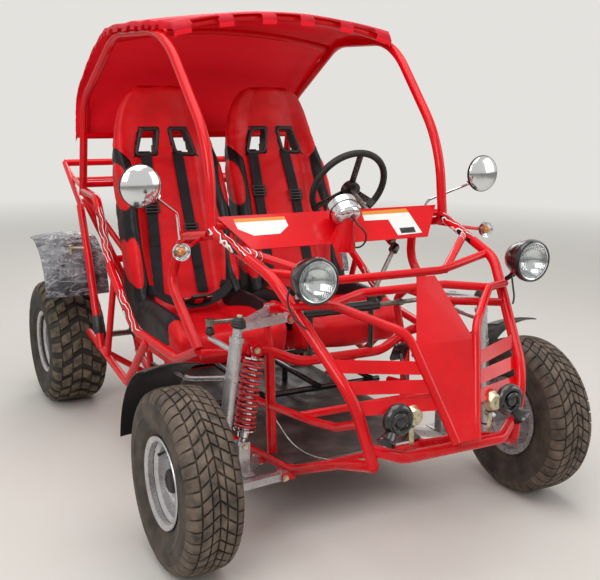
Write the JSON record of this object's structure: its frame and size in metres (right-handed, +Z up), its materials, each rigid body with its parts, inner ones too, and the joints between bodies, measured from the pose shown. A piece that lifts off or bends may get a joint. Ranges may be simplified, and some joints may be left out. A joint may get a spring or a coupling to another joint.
{
  "type": "two-seat tubular-frame racing kart",
  "caption": "Red two-seat tubular racing kart with roll cage, cloth canopy, bucket seats, long-travel front coil-overs, solid rear axle and turning, steering wheels.",
  "frame": {"origin": "On the ground, on the centre plane, midway between the nose tip and the rear rack.", "axes": "+X to the driver's left, +Y rearwards, +Z up."},
  "size_m": [1.492, 2.5739, 1.6999],
  "materials": {
    "tyre": "worn rubber with dried dust",
    "rim_silver": "silver lacquered pressed steel",
    "canopy_cloth": "coated red woven sheet",
    "seat_vinyl": "red vinyl with black side bolsters",
    "fender_plastic": "black moulded plastic, dusty",
    "chrome_plate": "polished chrome plate",
    "black_shell": "black lamp shells with clear fronts",
    "amber_lens": "amber moulded lens",
    "silver_paint": "silver paint on steel",
    "spring_red": "red coated spring wire on a bright damper",
    "cast_alloy": "cast and turned metal",
    "black_parts": "black sheet, foam and rubber",
    "red_paint": "glossy red paint on steel tube"
  },
  "bodies": {
    "frame": {"canopy": "canopy_cloth", "column_support": "red_paint", "dash_panel": "red_paint", "engine": "cast_alloy", "exhaust": "cast_alloy", "floor_frame": "red_paint", "floor_pan": "black_parts", "front_bumper": "red_paint", "front_frame": "red_paint", "headlights": "black_shell", "hood_slats": "red_paint", "hood_tubes": "red_paint", "horns": "black_shell", "left_front_shock": "spring_red", "left_lower_arm": "silver_paint", "left_mirror": "chrome_plate", "left_rear_fender": "fender_plastic", "left_rear_shock": "spring_red", "left_rear_stay": "red_paint", "left_seat": "seat_vinyl", "left_side_bars": "red_paint", "left_upper_arm": "silver_paint", "nose_panel": "red_paint", "pedals": "black_parts", "rack_housing": "cast_alloy", "rear_cage": "red_paint", "rear_rack": "red_paint", "right_front_shock": "spring_red", "right_lower_arm": "silver_paint", "right_mirror": "chrome_plate", "right_rear_fender": "fender_plastic", "right_rear_shock": "spring_red", "right_rear_stay": "red_paint", "right_seat": "seat_vinyl", "right_side_bars": "red_paint", "right_upper_arm": "silver_paint", "roll_cage": "red_paint", "seat_rails": "seat_vinyl", "speedometer": "black_shell", "swing_arm": "red_paint", "turn_signals": "amber_lens"},
    "left_steer": {"left_front_fender": "fender_plastic", "left_knuckle": "silver_paint"},
    "left_front_wheel": {"left_front_rim": "rim_silver", "left_front_tyre": "tyre"},
    "right_steer": {"right_front_fender": "fender_plastic", "right_knuckle": "silver_paint"},
    "right_front_wheel": {"right_front_rim": "rim_silver", "right_front_tyre": "tyre"},
    "steering_column": {"steering_wheel": "black_parts"},
    "steering_rack": {"tie_rods": "silver_paint"},
    "rear_wheels": {"left_rear_rim": "rim_silver", "left_rear_tyre": "tyre", "rear_axle": "silver_paint", "right_rear_rim": "rim_silver", "right_rear_tyre": "tyre"}
  },
  "joints": [
    {"name": "steering_turn", "type": "hinge", "parent": "frame", "child": "steering_column", "pos_m": [0.245, -0.1995, 1.06], "axis": [0, 0.8829, 0.4695], "range_deg": [-150, 150]},
    {"name": "rack_slide", "type": "slide", "parent": "frame", "child": "steering_rack", "axis": [1, 0, 0], "range_m": [-0.08, 0.08]},
    {"name": "left_steer", "type": "hinge", "parent": "frame", "child": "left_steer", "pos_m": [0.53, -0.7345, 0.2], "axis": [-0.1289, -0.0198, 0.9915], "range_deg": [-26, 26]},
    {"name": "right_steer", "type": "hinge", "parent": "frame", "child": "right_steer", "pos_m": [-0.53, -0.7345, 0.2], "axis": [0.1289, -0.0198, 0.9915], "range_deg": [-26, 26]},
    {"name": "left_front_spin", "type": "hinge", "parent": "left_steer", "child": "left_front_wheel", "pos_m": [0.656, -0.7795, 0.2795], "axis": [1, 0, 0], "continuous": true},
    {"name": "right_front_spin", "type": "hinge", "parent": "right_steer", "child": "right_front_wheel", "pos_m": [-0.656, -0.7795, 0.2795], "axis": [1, 0, 0], "continuous": true},
    {"name": "rear_axle_spin", "type": "hinge", "parent": "frame", "child": "rear_wheels", "pos_m": [0, 0.9335, 0.2795], "axis": [1, 0, 0], "continuous": true}
  ],
  "couplings": [
    {"joint": "left_steer", "follows": "steering_turn", "ratio": 0.16667},
    {"joint": "right_steer", "follows": "steering_turn", "ratio": 0.16667},
    {"joint": "rack_slide", "follows": "steering_turn", "m_per_rad": -0.028648}
  ]
}
